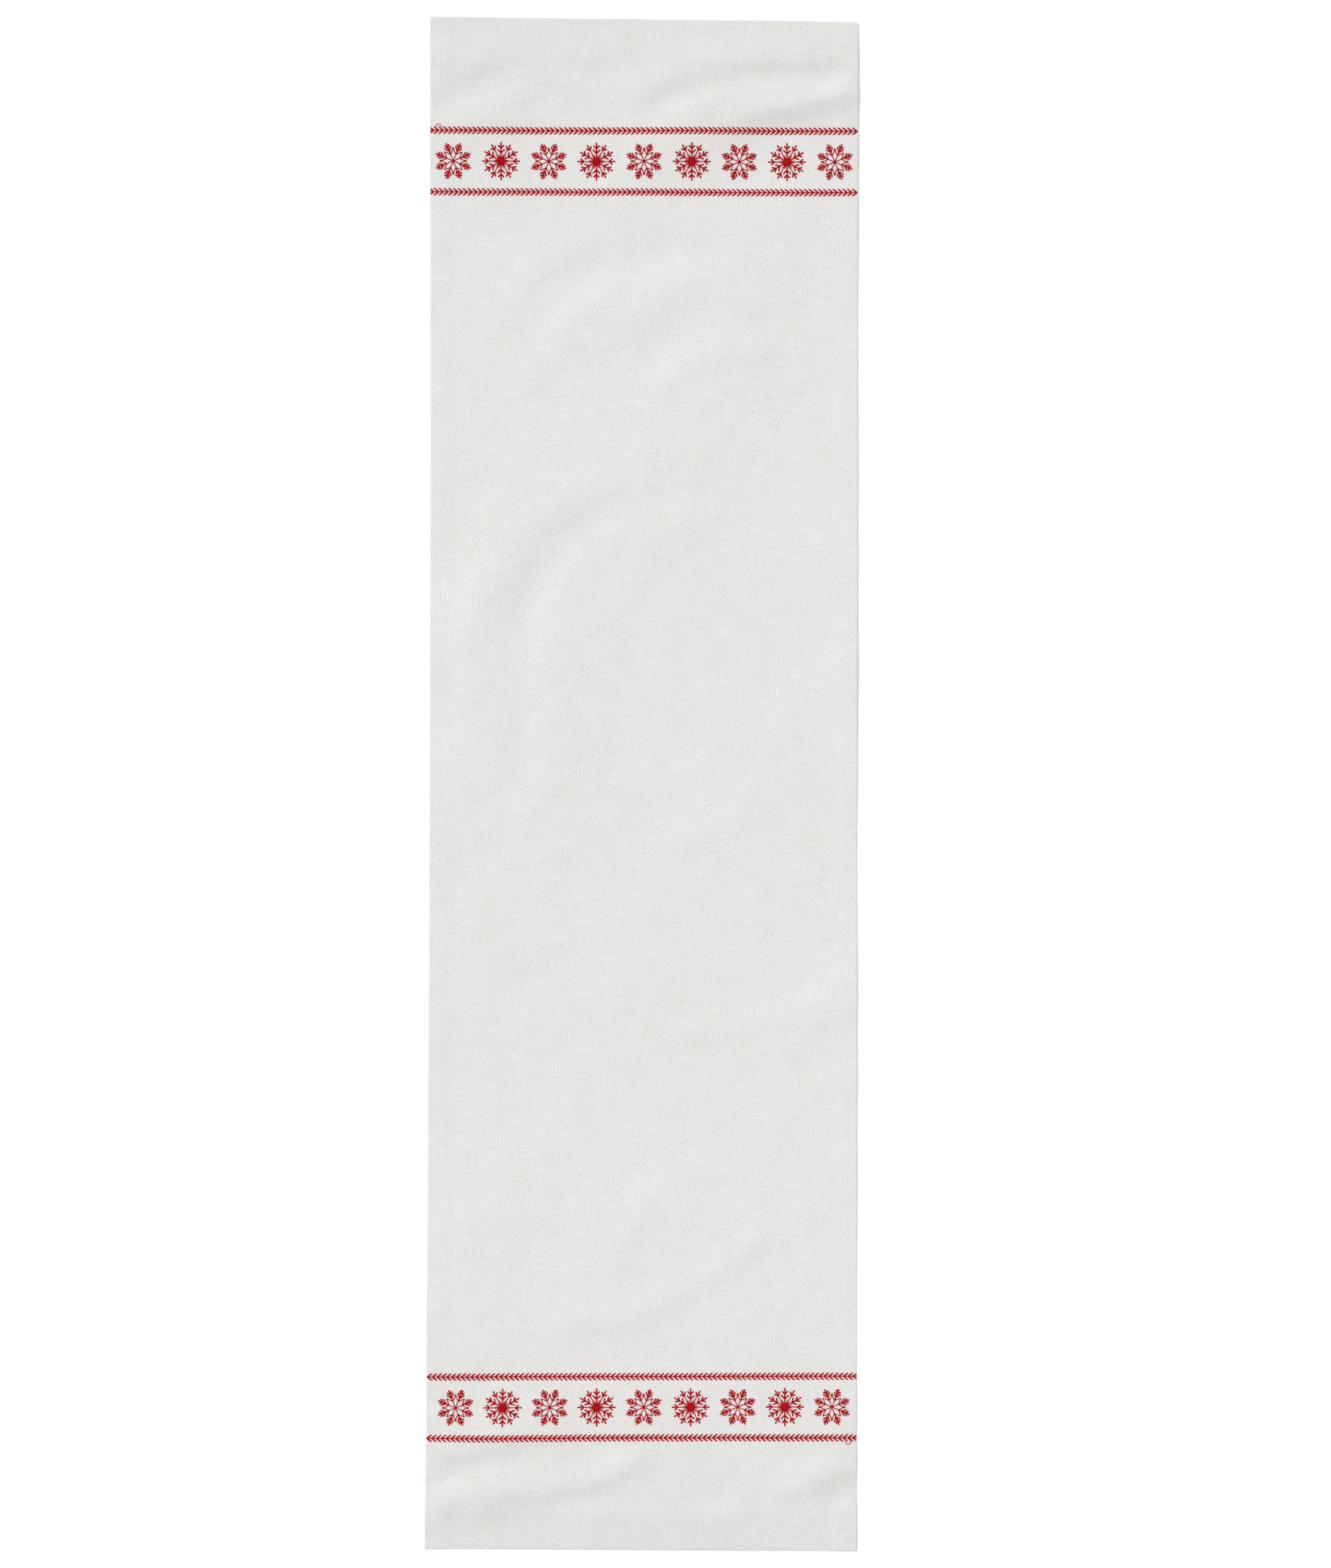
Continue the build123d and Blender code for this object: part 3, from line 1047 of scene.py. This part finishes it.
def sew(name, line, reach, along_x, seed):
    """One hem's lockstitch: the needle thread on the face and the bobbin thread underneath."""
    x, y = seam_places(line, reach, along_x)
    sides = (
        ("_needle_thread", -cloth_thickness / 2, 0.16, 0.16, 1.0),
        ("_bobbin_thread", underside_depth(x, y), 0.04, 0.12, -1.0),
    )
    made = []
    for ending, depth, arch, sink, up in sides:
        holes = lie(x, y, depth)
        thread = lay_thread(
            name + ending + "_stitches",
            holes[:-1],
            holes[1:],
            np.ones(len(holes) - 1),
            np.zeros(len(holes) - 1),
            {
                "Thread": seam_thread * MM,
                "Spacing": 0.0,
                "Arch": arch * MM,
                "Sink": sink * MM,
                "Wander": stray * MM,
                "Up": up,
                "Bends": 5,
                "Sides": 6 if up > 0 else 5,
                "Seed": seed,
                "Finish": white_thread,
            },
        )
        made.append(finish_piece(thread, "sewing_thread", name + ending))
    return made


# ---- The stage -----------------------------------------------------------------------------


def straight_above():
    """The camera, straight above and a little to the right of the runner's middle."""
    lens, sensor = 85, 36
    off_middle = (24.3, 0.5)
    tall_view = 1639.5  # of the table, from the top of the frame to its bottom
    height = tall_view * lens / sensor
    data = bpy.data.cameras.new("camera")
    data.lens = lens
    data.sensor_width = sensor
    data.clip_end = 100
    camera = bpy.data.objects.new("camera", data)
    camera.location = Vector((*off_middle, height)) * MM
    bpy.context.scene.collection.objects.link(camera)
    bpy.context.scene.camera = camera


def studio_light():
    """Bright air all round, and one very soft light from the upper left."""
    air, strength, spread = 0.74, 2.1, radians(50)
    world = bpy.data.worlds.new("studio")
    world.use_nodes = True
    sky = world.node_tree.nodes["Background"]
    sky.inputs["Color"].default_value = (1.0, 1.0, 1.0, 1)
    sky.inputs["Strength"].default_value = air
    bpy.context.scene.world = world
    data = bpy.data.lights.new("soft_key", "SUN")
    data.energy = strength
    data.angle = spread
    key = bpy.data.objects.new("soft_key", data)
    key.rotation_mode = "QUATERNION"
    key.rotation_quaternion = Vector((0.46, -0.46, -0.76)).to_track_quat("-Z", "Y")
    bpy.context.scene.collection.objects.link(key)
    bpy.context.scene.view_settings.view_transform = "Standard"


def table_top():
    """A plain pale floor under the runner."""
    reach = 30.0
    corners = np.array([(-1, -1, 0), (1, -1, 0), (1, 1, 0), (-1, 1, 0)]) * reach
    floor = linked("table_top", mesh_from("table_top", corners, np.array([[0, 1, 2, 3]])))
    floor.data.materials.append(pale_floor())


straight_above()
studio_light()
table_top()

# ---- The runner ----------------------------------------------------------------------------

thread_tree = thread_laying()
# Each thread's second colour is the painted shade of its ply grooves and also its darker tone.
red_thread = twisted_thread(
    "dark_red_embroidery_thread", (0.475, 0.003, 0.008, 1), (0.25, 0.002, 0.004, 1), 1.1, 0.7, 0.0
)
white_thread = twisted_thread(
    "white_sewing_thread", (0.88, 0.88, 0.86, 1), (0.74, 0.74, 0.72, 1), 0.7, 0.6, 0.2
)
cloth, cut_size = make_cloth(natural_cotton("natural_cotton", inner_end_fold * MM))
finish_piece(
    cloth,
    "cotton_cloth",
    "face_cloth",
    "far_end_hem",
    "near_end_hem",
    "left_side_hem",
    "right_side_hem",
)

threads = []
kinds = {"star": star_strokes(), "crystal": crystal_strokes()}
border = border_strokes()
for end, turn in (("far", 0.0), ("near", pi)):
    for line in ("outer_border", "inner_border"):
        node = f"{end}_{line}"
        strokes = border + loose_tail() if line == "outer_border" else border
        threads += embroider(node, strokes, node_centre(node), turn, 2 * arrow_run, len(threads))
    for number in range(1, 10):
        kind = ("star", "crystal")[(number + 1) % 2]
        node = f"{end}_{kind}_snowflake_{number}"
        centre = node_centre(node)
        slip, stretch = row_slip[end]
        centre.x = centre.x * stretch + slip
        threads += embroider(node, kinds[kind], centre, turn, flake_stitch, len(threads))

side_reach = node_box("right_side_hem")[1].y
for side, line in (("right", side_seam), ("left", -side_seam)):
    threads += sew(side + "_side_hem", line, side_reach, False, len(threads))
for end, line in (("far", end_seam), ("near", -end_seam)):
    threads += sew(end + "_end_hem", line, half_width - 1, True, len(threads))
